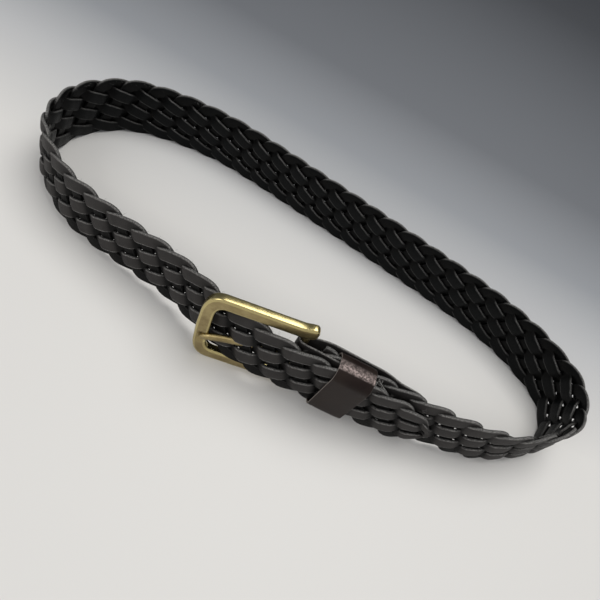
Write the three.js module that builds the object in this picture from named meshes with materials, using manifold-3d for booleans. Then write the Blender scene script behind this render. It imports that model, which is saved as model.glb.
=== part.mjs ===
// A man's braided leather belt, buckled into a loop and standing on its lower edge.
// Millimetres, +Z up. The loop's long way is X, the buckle is on the near side at -Y,
// and the origin is at the middle of the belt's box, on the surface that it stands on.
import * as THREE from 'three';
import { mergeVertices } from 'three/addons/utils/BufferGeometryUtils.js';
import Module from 'manifold-3d';

// Strap
const STRAP_WIDTH = 38;
const STRAND_THICKNESS = 2;
const STRAND_COUNT = 7;
const BRAID_PITCH = 16;
const EDGE_MARGIN = 5;
const SCALLOP_DEPTH = 1.5;
const TIP_TOP_RADIUS = 30;
const TIP_BOTTOM_RADIUS = 16;
const TIP_END_WIDTH = 9;
const FREE_END_LENGTH = 79;
const TIP_THINNING = 0.3;
const SLANT_FADE = 30;
const TAIL_BULGE = 1.6;
const MOST_LEAN = 4.5;

// Loop, measured on the strap's middle line
const LOOP_LENGTH = 355;
const LOOP_WIDTH = 129;

// Buckle
const FRAME_LENGTH = 56;
const FRAME_HEIGHT = 53;
const FRAME_THICKNESS = 4.8;
const RAIL_WIDTH = 7.3;
const CORNER_LENGTH = 10;
const CORNER_HEIGHT = 17;
const TOE_BOW = 0.5;
const FRAME_BEVEL = 0.9;
const FRAME_TURN = 13;
const HEEL_BAR_DIAMETER = 4;
const HEEL_BAR_INSET = 4.5;
const HEEL_X = 15.3;
const HEEL_OUTSET = 2.2;
const NOTCH_DEPTH = 2;
const NOTCH_RADIUS = 5;
const PRONG_WIDTH = 4.6;
const PRONG_THICKNESS = 3;
const PRONG_EYE_WALL = 2;
const PRONG_SET_BACK = 3.5;
const PRONG_DROP = 8.2;
const PRONG_TIP_LENGTH = 5;
const PRONG_TIP_NARROWING = 0.35;
const PRONG_STEPS = 14;

// Leather tab that is folded round the heel bar, and the keeper
const TAB_THICKNESS = 1.3;
const TAB_HEIGHT = 34;
const OUTER_LEAF_LENGTH = 46;
const INNER_LEAF_LENGTH = 69;
const BRAID_SET_BACK = 9;
const LEAF_STEPS = 8;
const KEEPER_WALL = 1.3;
const KEEPER_LENGTH = 19;
const KEEPER_FROM_HEEL = 18.5;
const KEEPER_CORNER = 2.6;
// Distances from the keeper's middle, as shares of its length, between which the tab's
// inner leaf closes up to the braid again
const LEAF_CLOSING = { from: 0.7, to: 1.4 };

// Clearances
const GAP = 0.35;
const KEEPER_SIDE_GAP = 0.5;
const PRONG_SIDE_GAP = 0.45;
const TOE_CLEARANCE = 3.2;
const NOTCH_END_GAP = 0.6;

const BRAID_THICKNESS = 2 * STRAND_THICKNESS;
const ROWS = STRAND_COUNT - 1;
const ROW_STEP = (STRAP_WIDTH - 2 * EDGE_MARGIN) / (ROWS - 1);
// Share of a pitch by which each lower row of crossings is shifted along the strap
const ROW_SHIFT = 0.19;
const BUCKLE_LIFT = (FRAME_HEIGHT - STRAP_WIDTH) / 2;

// Layers at the heel bar, from the bar outwards to the free end and the keeper
const BAR_RADIUS = HEEL_BAR_DIAMETER / 2;
const TAB_OUTSIDE = BAR_RADIUS + GAP + TAB_THICKNESS;
const EYE_OUTSIDE = BAR_RADIUS + GAP + PRONG_EYE_WALL;
const HALF_BRAID = BRAID_THICKNESS / 2;
const HEEL_Y = -LOOP_WIDTH / 2 - HEEL_OUTSET;
const TAIL_OVER_HEEL = HEEL_Y - EYE_OUTSIDE - GAP - HALF_BRAID;
const LAYERS_APART = BRAID_THICKNESS + TAB_THICKNESS + 3 * GAP;

// The loop, as shares of half the loop's length and width, the strap's lift off the surface
// as a share of its lift at the buckle, and how far its top edge leans inwards over its
// bottom edge as a share of MOST_LEAN. It runs from the heel bar round the right end.
const LOOP_ROUTE = [
  { x: 0.561, y: -0.907, lift: 0.45, lean: 0 },
  { x: 0.700, y: -0.814, lift: 0.15, lean: 0 },
  { x: 0.814, y: -0.674, lift: 0, lean: 0 },
  { x: 0.972, y: -0.279, lift: 0, lean: 0 },
  { x: 0.978, y: 0.180, lift: 0, lean: 0 },
  { x: 0.860, y: 0.466, lift: 0, lean: 0 },
  { x: 0.690, y: 0.651, lift: 0, lean: 0 },
  { x: 0.516, y: 0.744, lift: 0, lean: 0 },
  { x: 0.300, y: 0.818, lift: 0, lean: 0 },
  { x: 0.076, y: 0.884, lift: 0, lean: 0 },
  { x: -0.150, y: 0.937, lift: 0, lean: 0 },
  { x: -0.380, y: 0.990, lift: 0, lean: 0 },
  { x: -0.561, y: 0.998, lift: 0, lean: 0 },
  { x: -0.770, y: 0.880, lift: 0, lean: 0 },
  { x: -0.914, y: 0.655, lift: 0, lean: 0.2 },
  { x: -0.998, y: 0.202, lift: 0, lean: 0.6 },
  { x: -0.962, y: -0.310, lift: 0, lean: 1 },
  { x: -0.782, y: -0.690, lift: 0, lean: 1 },
  { x: -0.640, y: -0.806, lift: 0.12, lean: 0.8 },
  { x: -0.482, y: -0.880, lift: 0.4, lean: 0.5 },
  { x: -0.321, y: -0.955, lift: 0.72, lean: 0.5 },
];

// Through the buckle: along is the share of the way from the toe bar to the heel bar,
// across the share of the way from behind the toe bar to in front of the heel bar, and
// bulge the share of TAIL_BULGE by which the free end bows outwards.
const BUCKLE_PASSAGE = [
  { along: -0.02, across: 0, bulge: 0, lift: 0.96, lean: 0.8 },
  { along: 0.32, across: 0.75, bulge: 0.6, lift: 1, lean: 1 },
  { along: 0.66, across: 1, bulge: 1, lift: 1, lean: 0.8 },
];

// Both layers beyond the heel bar, at shares of the free end's length, and the share of
// the buckle's lift that they lose by its tip
const LAYER_STATIONS = [
  { share: 0.03, bulge: 0.9, lean: 0.3 },
  { share: 0.35, bulge: 0.15, lean: 0 },
  { share: 0.66, bulge: 0, lean: 0 },
];
const LAYER_LIFT_LOSS = 0.8;
const LAYER_EASE = 1.3;

// The prong's middle line between the heel bar and its tip: along is the share of the way
// from the toe bar, drop of PRONG_DROP, bed of the notch's height, rise of its thickness.
const PRONG_LINE = [
  { along: 0.62, drop: 0.2, bed: 0.9, rise: 0.25 },
  { along: 0.28, drop: 0.6, bed: 0.9, rise: 0.35 },
];

// Height of each face over the strap's middle, as shares of half its thickness, at four
// places along one pitch: in the rows where the gently sloping strand lies on top, and in
// the rows between, where the steep strand shows in the gaps.
const PLATE_ROW = [1, 0.9, 0.45, 0.85];
const GAP_ROW = [0.5, 0.6, 0.78, 0.62];
const TOP_ARCH = [0.9, 0.25, 0, 0.35];
const BOTTOM_ARCH = [0.15, 0, 1, 0.7];
const STEPS_PER_PITCH = 4;

const LEATHER = new THREE.MeshStandardMaterial({ color: 0x2b2826, roughness: 0.62, metalness: 0 });
const KEEPER_LEATHER = new THREE.MeshStandardMaterial({ color: 0x2a211d, roughness: 0.42, metalness: 0 });
const BRASS = new THREE.MeshStandardMaterial({ color: 0x9c8a4c, roughness: 0.38, metalness: 1 });

const wasm = await Module();
wasm.setup();

// Closed mesh and manifold solid, both ways
function toSolid(geometry) {
  const bare = geometry.clone();
  bare.deleteAttribute('normal');
  bare.deleteAttribute('uv');
  const merged = mergeVertices(bare, 1e-4);
  return new wasm.Manifold(new wasm.Mesh({
    numProp: 3,
    vertProperties: new Float32Array(merged.attributes.position.array),
    triVerts: new Uint32Array(merged.index.array),
  }));
}

function toGeometry(solid) {
  const mesh = solid.getMesh();
  const geometry = new THREE.BufferGeometry();
  geometry.setAttribute('position', new THREE.BufferAttribute(new Float32Array(mesh.vertProperties), 3));
  geometry.setIndex(new THREE.BufferAttribute(new Uint32Array(mesh.triVerts), 1));
  return geometry;
}

// A closed solid through rings of points, each ring of the same count, with flat ends.
// Each ring runs so that its normal points along the sweep.
function loft(rings) {
  const count = rings[0].length;
  const positions = rings.flat().flatMap((point) => [point.x, point.y, point.z]);
  const index = [];
  for (let ring = 0; ring + 1 < rings.length; ring += 1) {
    for (let side = 0; side < count; side += 1) {
      const next = (side + 1) % count;
      const a = ring * count + side;
      const b = ring * count + next;
      index.push(a, b, b + count, a, b + count, a + count);
    }
  }
  // The ends are ladders between the two faces, so that they stay flat and thin
  const last = (rings.length - 1) * count;
  for (let rung = 0; rung < count / 2; rung += 1) {
    const low = rung;
    const high = rung + 1;
    const lowBack = (count - rung) % count;
    const highBack = count - rung - 1;
    if (lowBack !== low) {
      index.push(low, lowBack, high, last + low, last + high, last + lowBack);
    }
    if (highBack !== high) {
      index.push(high, lowBack, highBack, last + high, last + highBack, last + lowBack);
    }
  }
  const geometry = new THREE.BufferGeometry();
  geometry.setAttribute('position', new THREE.Float32BufferAttribute(positions, 3));
  geometry.setIndex(index);
  return geometry;
}

// The buckle's bars seen from above, and the layers that pass them
const frameTurn = THREE.MathUtils.degToRad(FRAME_TURN);
const barSpacing = FRAME_LENGTH - HEEL_BAR_INSET - RAIL_WIDTH / 2;
const toe = {
  x: HEEL_X - barSpacing * Math.cos(frameTurn),
  y: HEEL_Y - barSpacing * Math.sin(frameTurn),
};
const braidOverHeel = HEEL_Y - TAB_OUTSIDE + TAB_THICKNESS + GAP + HALF_BRAID;
const tailApart = Math.max(LAYERS_APART, braidOverHeel - TAIL_OVER_HEEL);
const underToe = toe.y + FRAME_THICKNESS / 2 + TOE_CLEARANCE + HALF_BRAID;

function innerLayerY(x) {
  // The braid leaves the tab and eases back to the loop's near line
  const first = LOOP_ROUTE[0];
  const share = (x - HEEL_X) / (first.x * LOOP_LENGTH / 2 - HEEL_X);
  return THREE.MathUtils.lerp(braidOverHeel, first.y * LOOP_WIDTH / 2, Math.max(0, share) ** LAYER_EASE);
}

function liftBeyondHeel(step) {
  return 1 - LAYER_LIFT_LOSS * (Math.max(0, step) / FREE_END_LENGTH) ** 2;
}

// The strap's middle line, and its lean at the same points
const routePoints = [];
const leanPoints = [];

function addStation(x, y, lift, lean) {
  routePoints.push(new THREE.Vector3(x, y, lift * BUCKLE_LIFT));
  leanPoints.push(new THREE.Vector3(lean, 0, 0));
}

for (const row of LAYER_STATIONS) {
  const step = Math.max(BRAID_SET_BACK, row.share * FREE_END_LENGTH);
  addStation(HEEL_X + step, innerLayerY(HEEL_X + step), liftBeyondHeel(step), 0);
}
for (const row of LOOP_ROUTE) {
  addStation(row.x * LOOP_LENGTH / 2, row.y * LOOP_WIDTH / 2, row.lift, row.lean);
}
for (const row of BUCKLE_PASSAGE) {
  const y = THREE.MathUtils.lerp(underToe, TAIL_OVER_HEEL, row.across) - row.bulge * TAIL_BULGE;
  addStation(THREE.MathUtils.lerp(toe.x, HEEL_X, row.along), y, row.lift, row.lean);
}
for (const row of LAYER_STATIONS) {
  const step = row.share * FREE_END_LENGTH;
  const y = innerLayerY(HEEL_X + step) - tailApart - row.bulge * TAIL_BULGE;
  addStation(HEEL_X + step, y, liftBeyondHeel(step), row.lean);
}
const tipX = HEEL_X + FREE_END_LENGTH;
addStation(tipX, innerLayerY(tipX) - BRAID_THICKNESS - 2 * GAP, liftBeyondHeel(FREE_END_LENGTH), 0);

const route = new THREE.CatmullRomCurve3(routePoints, false, 'centripetal');
route.arcLengthDivisions = 2000;
const routeLength = route.getLength();
const leans = new THREE.CatmullRomCurve3(leanPoints, false, 'catmullrom', 0.5);

function frameAt(distance) {
  const share = THREE.MathUtils.clamp(distance / routeLength, 0, 1);
  const centre = route.getPointAt(share);
  const along = route.getTangentAt(share);
  const outward = new THREE.Vector3(along.y, -along.x, 0).normalize();
  const lean = leans.getPoint(route.getUtoTmapping(share)).x * MOST_LEAN;
  return { centre, outward, lean };
}

function placed(distance, height, out) {
  const { centre, outward, lean } = frameAt(distance);
  const leant = out - lean * (height / STRAP_WIDTH - 0.5);
  return new THREE.Vector3(
    centre.x + outward.x * leant,
    centre.y + outward.y * leant,
    Math.max(0, centre.z) + height,
  );
}

// Share of the strap's width that is left where it rounds off to its tip
function tipNarrowing(distance, radius) {
  const share = THREE.MathUtils.clamp(1 - (routeLength - distance) / radius, 0, 1);
  return Math.max(Math.sqrt(1 - share ** 2), TIP_END_WIDTH / STRAP_WIDTH);
}

// The woven strap: both faces carry the plates of the braid, and both edges its arches
function strapRing(distance, step) {
  const place = ((step % STEPS_PER_PITCH) + STEPS_PER_PITCH) % STEPS_PER_PITCH;
  const slant = THREE.MathUtils.clamp(Math.min(distance, routeLength - distance) / SLANT_FADE, 0, 1);
  const narrowTop = tipNarrowing(distance, TIP_TOP_RADIUS);
  const narrowBottom = tipNarrowing(distance, TIP_BOTTOM_RADIUS);
  const thin = 1 - TIP_THINNING * (1 - narrowBottom);
  const middle = STRAP_WIDTH / 2;
  const at = (height, row, out) => placed(
    distance + slant * (row - (ROWS + 1) / 2) * ROW_SHIFT * BRAID_PITCH,
    middle + (height - middle) * (height > middle ? narrowTop : narrowBottom),
    out * thin,
  );
  const outer = [];
  const inner = [];
  for (let row = ROWS; row >= 1; row -= 1) {
    const height = STRAP_WIDTH - EDGE_MARGIN - (row - 1) * ROW_STEP;
    const isOdd = row % 2 === 1;
    outer.push(at(height, row, HALF_BRAID * (isOdd ? PLATE_ROW : GAP_ROW)[place]));
    inner.push(at(height, row, -HALF_BRAID * (isOdd ? GAP_ROW : PLATE_ROW)[place]));
  }
  const edgeRow = EDGE_MARGIN / ROW_STEP;
  const bottom = at(SCALLOP_DEPTH * BOTTOM_ARCH[place], ROWS + edgeRow, 0);
  const top = at(STRAP_WIDTH - SCALLOP_DEPTH * TOP_ARCH[place], 1 - edgeRow, 0);
  return [bottom, ...inner, top, ...outer.reverse()];
}

function strapGeometry() {
  const count = Math.round(routeLength / BRAID_PITCH) * STEPS_PER_PITCH;
  const rings = [];
  for (let step = 0; step <= count; step += 1) {
    rings.push(strapRing(routeLength * step / count, step));
  }
  return loft(rings);
}

// Buckle frame in its own plane: X from toe to heel bar, Y up, Z outwards
function buckleOutline() {
  const half = FRAME_HEIGHT / 2;
  const shape = new THREE.Shape();
  shape.moveTo(FRAME_LENGTH, half);
  shape.lineTo(CORNER_LENGTH, half);
  shape.quadraticCurveTo(TOE_BOW, half, TOE_BOW, half - CORNER_HEIGHT);
  shape.quadraticCurveTo(-TOE_BOW, 0, TOE_BOW, CORNER_HEIGHT - half);
  shape.quadraticCurveTo(TOE_BOW, -half, CORNER_LENGTH, -half);
  shape.lineTo(FRAME_LENGTH, -half);
  const rail = half - RAIL_WIDTH;
  const inside = RAIL_WIDTH + CORNER_LENGTH / 2;
  const corner = rail - CORNER_HEIGHT / 2;
  shape.lineTo(FRAME_LENGTH, -rail);
  shape.lineTo(inside, -rail);
  shape.quadraticCurveTo(RAIL_WIDTH, -rail, RAIL_WIDTH, -corner);
  shape.lineTo(RAIL_WIDTH, corner);
  shape.quadraticCurveTo(RAIL_WIDTH, rail, inside, rail);
  shape.lineTo(FRAME_LENGTH, rail);
  shape.closePath();
  return shape;
}

function inBucklePlane(geometry) {
  // Toe at the origin of the plane; stand it up and turn it about the heel bar
  geometry.translate(-(FRAME_LENGTH - HEEL_BAR_INSET), 0, 0);
  geometry.rotateX(Math.PI / 2);
  geometry.rotateZ(frameTurn);
  geometry.translate(HEEL_X, HEEL_Y, FRAME_HEIGHT / 2);
  return geometry;
}

function buckleFrame() {
  const frame = new THREE.ExtrudeGeometry(buckleOutline(), {
    depth: FRAME_THICKNESS - 2 * FRAME_BEVEL,
    bevelThickness: FRAME_BEVEL,
    bevelSize: FRAME_BEVEL,
    bevelOffset: -FRAME_BEVEL,
    bevelSegments: 2,
    curveSegments: 10,
  });
  frame.translate(0, 0, -FRAME_THICKNESS / 2 + FRAME_BEVEL);
  const bar = new THREE.CylinderGeometry(BAR_RADIUS, BAR_RADIUS, FRAME_HEIGHT - RAIL_WIDTH, 24);
  bar.translate(FRAME_LENGTH - HEEL_BAR_INSET, 0, 0);
  // The notch is a shallow pocket that is open to the inside of the frame
  const notch = new THREE.CylinderGeometry(NOTCH_RADIUS, NOTCH_RADIUS, RAIL_WIDTH, 40);
  notch.rotateZ(Math.PI / 2);
  notch.translate(
    PRONG_SET_BACK - NOTCH_END_GAP + RAIL_WIDTH / 2,
    -PRONG_DROP,
    FRAME_THICKNESS / 2 + NOTCH_RADIUS - NOTCH_DEPTH,
  );
  const solid = toSolid(frame).add(toSolid(bar)).subtract(toSolid(notch));
  return inBucklePlane(toGeometry(solid));
}

// The prong turns on the heel bar, passes through the braid and rests in the toe's notch
function prongSolid(margin) {
  const radius = PRONG_THICKNESS / 2 + margin;
  const halfWidth = PRONG_WIDTH / 2 + margin;
  const bed = FRAME_THICKNESS / 2 - NOTCH_DEPTH + GAP;
  const barX = FRAME_LENGTH - HEEL_BAR_INSET;
  const line = new THREE.CatmullRomCurve3([
    new THREE.Vector3(barX - BAR_RADIUS - GAP - PRONG_EYE_WALL / 2, 0, 0),
    ...PRONG_LINE.map((row) => new THREE.Vector3(
      barX * row.along,
      -PRONG_DROP * row.drop,
      bed * row.bed + PRONG_THICKNESS * row.rise,
    )),
    new THREE.Vector3(PRONG_SET_BACK, -PRONG_DROP, bed + PRONG_THICKNESS / 2),
  ]);
  const section = new THREE.Shape();
  section.absellipse(0, 0, halfWidth, radius, 0, Math.PI * 2, false, 0);
  const ring = new THREE.Shape();
  ring.absarc(0, 0, EYE_OUTSIDE + margin, 0, Math.PI * 2, false);
  const hole = new THREE.Path();
  hole.absarc(0, 0, BAR_RADIUS + GAP, 0, Math.PI * 2, true);
  if (margin === 0) {
    ring.holes.push(hole);
  }
  const eye = new THREE.ExtrudeGeometry(ring, { depth: 2 * halfWidth, bevelEnabled: false, curveSegments: 16 });
  eye.translate(0, 0, -halfWidth);
  eye.rotateX(Math.PI / 2);
  eye.translate(barX, 0, 0);
  const rings = [];
  const tipStart = 1 - PRONG_TIP_LENGTH / line.getLength();
  for (let step = 0; step <= PRONG_STEPS; step += 1) {
    const share = step / PRONG_STEPS;
    const centre = line.getPointAt(share);
    const along = line.getTangentAt(share);
    const across = new THREE.Vector3(0, 1, 0);
    const out = new THREE.Vector3().crossVectors(along, across).normalize();
    const tip = 1 - PRONG_TIP_NARROWING * Math.max(0, share - tipStart) / (1 - tipStart);
    rings.push(section.getPoints(5).slice(0, -1).map((point) => centre.clone()
      .addScaledVector(across, point.x * tip)
      .addScaledVector(out, point.y * tip)));
  }
  return toSolid(loft(rings)).add(toSolid(eye));
}

// The tab: one strip of leather folded round the heel bar, the braid's end between its leaves
function tabPath() {
  const middle = TAB_THICKNESS / 2;
  const offset = HALF_BRAID + GAP + middle;
  const fold = BAR_RADIUS + GAP + middle;
  const path = [];
  const keeperMiddle = KEEPER_FROM_HEEL + KEEPER_LENGTH / 2;
  const leaf = (length, side) => {
    const points = [];
    for (let count = LEAF_STEPS; count >= 1; count -= 1) {
      const step = length * count / LEAF_STEPS;
      const x = HEEL_X + step;
      const opened = THREE.MathUtils.smoothstep(step, 1, BRAID_SET_BACK - 1);
      // The inner leaf stands off by the keeper's back wall, and closes again beyond it
      const fromKeeper = Math.abs(step - keeperMiddle) / KEEPER_LENGTH;
      const nearKeeper = 1 - THREE.MathUtils.smoothstep(fromKeeper, LEAF_CLOSING.from, LEAF_CLOSING.to);
      const standOff = side > 0 ? nearKeeper * (KEEPER_WALL + 2 * GAP) : 0;
      const y = THREE.MathUtils.lerp(HEEL_Y + side * fold, innerLayerY(x) + side * offset + standOff, opened);
      points.push(new THREE.Vector2(x, y));
    }
    return points;
  };
  path.push(...leaf(OUTER_LEAF_LENGTH, -1));
  for (let step = 0; step <= 8; step += 1) {
    const angle = -Math.PI / 2 - Math.PI * step / 8;
    path.push(new THREE.Vector2(HEEL_X + fold * Math.cos(angle), HEEL_Y + fold * Math.sin(angle)));
  }
  path.push(...leaf(INNER_LEAF_LENGTH, 1).reverse());
  return path;
}

function tabGeometry() {
  const path = tabPath();
  const rings = path.map((point, step) => {
    const before = path[Math.max(0, step - 1)];
    const after = path[Math.min(path.length - 1, step + 1)];
    const along = after.clone().sub(before).normalize();
    const side = new THREE.Vector2(-along.y, along.x).multiplyScalar(TAB_THICKNESS / 2);
    const lift = BUCKLE_LIFT * liftBeyondHeel(point.x - HEEL_X);
    const low = lift + (STRAP_WIDTH - TAB_HEIGHT) / 2;
    const high = low + TAB_HEIGHT;
    return [
      new THREE.Vector3(point.x - side.x, point.y - side.y, low),
      new THREE.Vector3(point.x + side.x, point.y + side.y, low),
      new THREE.Vector3(point.x + side.x, point.y + side.y, high),
      new THREE.Vector3(point.x - side.x, point.y - side.y, high),
    ];
  });
  const slotHeight = PRONG_WIDTH + 4 * PRONG_SIDE_GAP;
  const slot = new THREE.BoxGeometry(2 * EYE_OUTSIDE + PRONG_WIDTH, 3 * EYE_OUTSIDE, slotHeight);
  slot.translate(HEEL_X - EYE_OUTSIDE + BAR_RADIUS, HEEL_Y, FRAME_HEIGHT / 2);
  return toGeometry(toSolid(loft(rings)).subtract(toSolid(slot)));
}

// The keeper: a flat leather ring round the free end, the tab's outer leaf and the braid,
// with its back wall caught between the braid and the tab's inner leaf
function roundedBox(width, height, radius, hole) {
  const path = hole ? new THREE.Path() : new THREE.Shape();
  const x = width / 2;
  const y = height / 2;
  path.moveTo(x, y - radius);
  path.absarc(x - radius, y - radius, radius, 0, Math.PI / 2, false);
  path.absarc(-x + radius, y - radius, radius, Math.PI / 2, Math.PI, false);
  path.absarc(-x + radius, -y + radius, radius, Math.PI, Math.PI * 1.5, false);
  path.absarc(x - radius, -y + radius, radius, Math.PI * 1.5, Math.PI * 2, false);
  path.closePath();
  return path;
}

function layerAt(x, fromTip) {
  // The middle line where it passes X, looked for from the free tip or from the tab
  let distance = fromTip ? routeLength : 0;
  const step = fromTip ? -0.25 : 0.25;
  while (fromTip === frameAt(distance).centre.x > x) {
    distance += step;
  }
  return frameAt(distance);
}

function keeperGeometry() {
  const from = HEEL_X + KEEPER_FROM_HEEL;
  const start = layerAt(from, true);
  const end = layerAt(from + KEEPER_LENGTH, true);
  const along = end.centre.clone().sub(start.centre).normalize();
  const outward = new THREE.Vector3(along.y, -along.x, 0).normalize();
  const up = new THREE.Vector3().crossVectors(along, outward);
  // Both layers of the strap at both ends of the keeper set its inside depth
  const reach = [];
  for (const x of [from, from + KEEPER_LENGTH / 2, from + KEEPER_LENGTH]) {
    reach.push(layerAt(x, true).centre.sub(start.centre).dot(outward) + HALF_BRAID + GAP);
    reach.push(layerAt(x, false).centre.sub(start.centre).dot(outward) - HALF_BRAID - GAP);
  }
  const outside = Math.max(...reach);
  const inside = Math.min(...reach);
  const insideDepth = outside - inside;
  const insideHeight = STRAP_WIDTH + 2 * KEEPER_SIDE_GAP;
  const ring = roundedBox(insideDepth + 2 * KEEPER_WALL, insideHeight + 2 * KEEPER_WALL, KEEPER_CORNER, false);
  ring.holes.push(roundedBox(insideDepth, insideHeight, KEEPER_CORNER - KEEPER_WALL, true));
  const geometry = new THREE.ExtrudeGeometry(ring, { depth: KEEPER_LENGTH, bevelEnabled: false, curveSegments: 5 });
  geometry.translate(0, 0, -KEEPER_LENGTH / 2);
  const middle = start.centre.clone().add(end.centre).multiplyScalar(0.5);
  middle.z += STRAP_WIDTH / 2;
  middle.addScaledVector(outward, (outside + inside) / 2);
  geometry.applyMatrix4(new THREE.Matrix4().makeBasis(outward, up, along).setPosition(middle));
  return geometry;
}

const group = new THREE.Group();

function addPiece(name, geometry, material) {
  const mesh = new THREE.Mesh(geometry, material);
  mesh.name = name;
  group.add(mesh);
}

const prongTunnel = inBucklePlane(toGeometry(prongSolid(PRONG_SIDE_GAP)));
const strapSolid = toSolid(strapGeometry()).subtract(toSolid(prongTunnel));
addPiece('braided_strap', toGeometry(strapSolid), LEATHER);
addPiece('leather_tab', tabGeometry(), LEATHER);
addPiece('keeper_loop', keeperGeometry(), KEEPER_LEATHER);
addPiece('buckle_frame', buckleFrame(), BRASS);
addPiece('buckle_prong', inBucklePlane(toGeometry(prongSolid(0))), BRASS);

// Move the origin to the middle of the belt's box, at its underside
const box = new THREE.Box3().setFromObject(group);
const centre = box.getCenter(new THREE.Vector3());
group.children.forEach((mesh) => mesh.geometry.translate(-centre.x, -centre.y, -box.min.z));

export default group;
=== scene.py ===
import math
import random

import bpy
import numpy as np
from mathutils import Matrix, Vector


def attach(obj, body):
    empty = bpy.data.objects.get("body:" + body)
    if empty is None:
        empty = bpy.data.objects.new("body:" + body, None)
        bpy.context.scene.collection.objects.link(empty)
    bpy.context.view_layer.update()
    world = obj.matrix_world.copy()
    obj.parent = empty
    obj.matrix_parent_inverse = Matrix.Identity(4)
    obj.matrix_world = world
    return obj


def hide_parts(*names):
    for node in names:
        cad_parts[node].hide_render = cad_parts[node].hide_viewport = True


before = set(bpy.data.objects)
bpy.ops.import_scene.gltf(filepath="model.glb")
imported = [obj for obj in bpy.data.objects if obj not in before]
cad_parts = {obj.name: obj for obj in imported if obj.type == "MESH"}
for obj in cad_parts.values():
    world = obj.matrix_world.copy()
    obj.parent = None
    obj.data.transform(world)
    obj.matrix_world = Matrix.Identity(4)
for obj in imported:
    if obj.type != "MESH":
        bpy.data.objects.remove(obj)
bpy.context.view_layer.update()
random.seed(7)

MM = 0.001

# The middle of the belt's box in the frame that the sizes below are given in
BOX_MIDDLE = np.array([-1.1619, -6.8808, 0.0])

# Strap
STRAP_WIDTH = 38.0
BRAID_THICKNESS = 4.0
STRAND_COUNT = 7
STRAND_WIDTH = 7.5
STRAND_THICKNESS = 1.9
STRAND_SIDE_ROUNDING = 0.22
STRAND_CROWN = 0.12
STRAND_EDGE_ROUNDING = 0.28
ROWS = STRAND_COUNT - 1
EDGE_MARGIN = 5.6
ROW_STEP = (STRAP_WIDTH - 2 * EDGE_MARGIN) / (ROWS - 1)
ROW_SHIFT = 0.19
NOMINAL_PITCH = 16.0
GENTLE_DEPTH = 1.75
STEEP_DEPTH = 0.0
WAIST_SHARE = 0.06
STEEP_WIDTH_SHARE = 0.91
RUN_HOLD = 0.18
TURN_REACH = 14.0
EDGE_RUN_STEPS = 12
STEEP_RUN_STEPS = 4
GENTLE_RUN_STEPS = 9
# Painted shade in the weave's recesses: the depths over which it fades in, its near-black colour, and
# where it fades out at the open top edge
PAINTED_SHADE_DEPTHS = (1.0, 2.4)
PAINTED_SHADE_COLOUR = (0.0015, 0.0015, 0.0015)
OPEN_EDGE = (0.5, 3.5)
FIBRE_COUNT = 260
FIBRE_RADIUS = 0.035
FIBRE_LENGTHS = (1.2, 2.6)
FIBRE_ROOT_DEPTH = 2.2
FIBRE_STRETCH = (0.55, 0.995)
TIP_TOP_RADIUS = 30.0
TIP_BOTTOM_RADIUS = 16.0
TIP_END_WIDTH = 9.0
TIP_THINNING = 0.3
FREE_END_LENGTH = 79.0
TAIL_BULGE = 1.6
MOST_LEAN = 4.5

# Loop, measured on the strap's middle line
LOOP_LENGTH = 355.0
LOOP_WIDTH = 129.0

# Buckle
FRAME_LENGTH = 56.0
FRAME_HEIGHT = 53.0
FRAME_THICKNESS = 4.8
RAIL_WIDTH = 7.3
CORNER_LENGTH = 10.0
CORNER_HEIGHT = 17.0
TOE_BOW = 0.5
FRAME_BEVEL = 1.1
HEEL_FLARE = 1.5
INNER_FLARE_SHARE = 0.35
FLARE_LENGTH = 9.0
FLARE_END = 1.5
SIDE_STEPS = 24
TURN_STEPS = 20
BAR_STEPS = 12
HEEL_ROUNDING = 3.0
FRAME_TURN = math.radians(13)
HEEL_BAR_DIAMETER = 4.0
HEEL_BAR_INSET = 4.5
HEEL_X = 15.3
HEEL_OUTSET = 2.2
NOTCH_DEPTH = 2.0
NOTCH_EASE = 2.0
NOTCH_SLOPE = (-1.2, 0.6)
PRONG_WIDTH = 4.6
PRONG_THICKNESS = 3.0
PRONG_EYE_WALL = 2.0
PRONG_SET_BACK = 3.5
PRONG_DROP = 8.2
PRONG_STEPS = 60
PRONG_TIP_NARROWING = 0.35

# Tab and keeper
TAB_THICKNESS = 1.3
TAB_HEIGHT = 34.0
TAB_END_RADIUS = 8.0
OUTER_LEAF_LENGTH = 46.0
INNER_LEAF_LENGTH = 69.0
BRAID_SET_BACK = 9.0
LEAF_START = 2.0
LEAF_STEP = 1.5
LEAF_OPENING = (1, BRAID_SET_BACK - 1)
LEAF_CLOSING = (0.7, 1.4)
FOLD_STEPS = 17
KEEPER_WALL = 1.3
KEEPER_LENGTH = 19.0
KEEPER_FROM_HEEL = 18.5
KEEPER_CORNER = 7.0
KEEPER_EDGE_ROUNDING = 0.25
KEEPER_FRONT_ROOM = 1.4
# The rubbed fold's direction, where wear and a painted highlight lie, as shares outwards and
# downwards: it is on the upper turn
WORN_HIGHLIGHT_DIRECTION = np.array([0.208, -0.978])
WORN_HIGHLIGHT_FADE = (0.967, 0.992)

LACE_RADIUS = 0.38
# The lace's loose ends: where they start and end beyond the heel bar, and how far they dip
LACE_ENDS = [
    (39.6, 45.5, 1.6),
    (42.0, 44.3, 3.0),
    (40.6, 39.4, 2.2),
]

# Clearances
GAP = 0.35
KEEPER_SIDE_GAP = 0.5
TOE_CLEARANCE = 3.2

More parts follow.
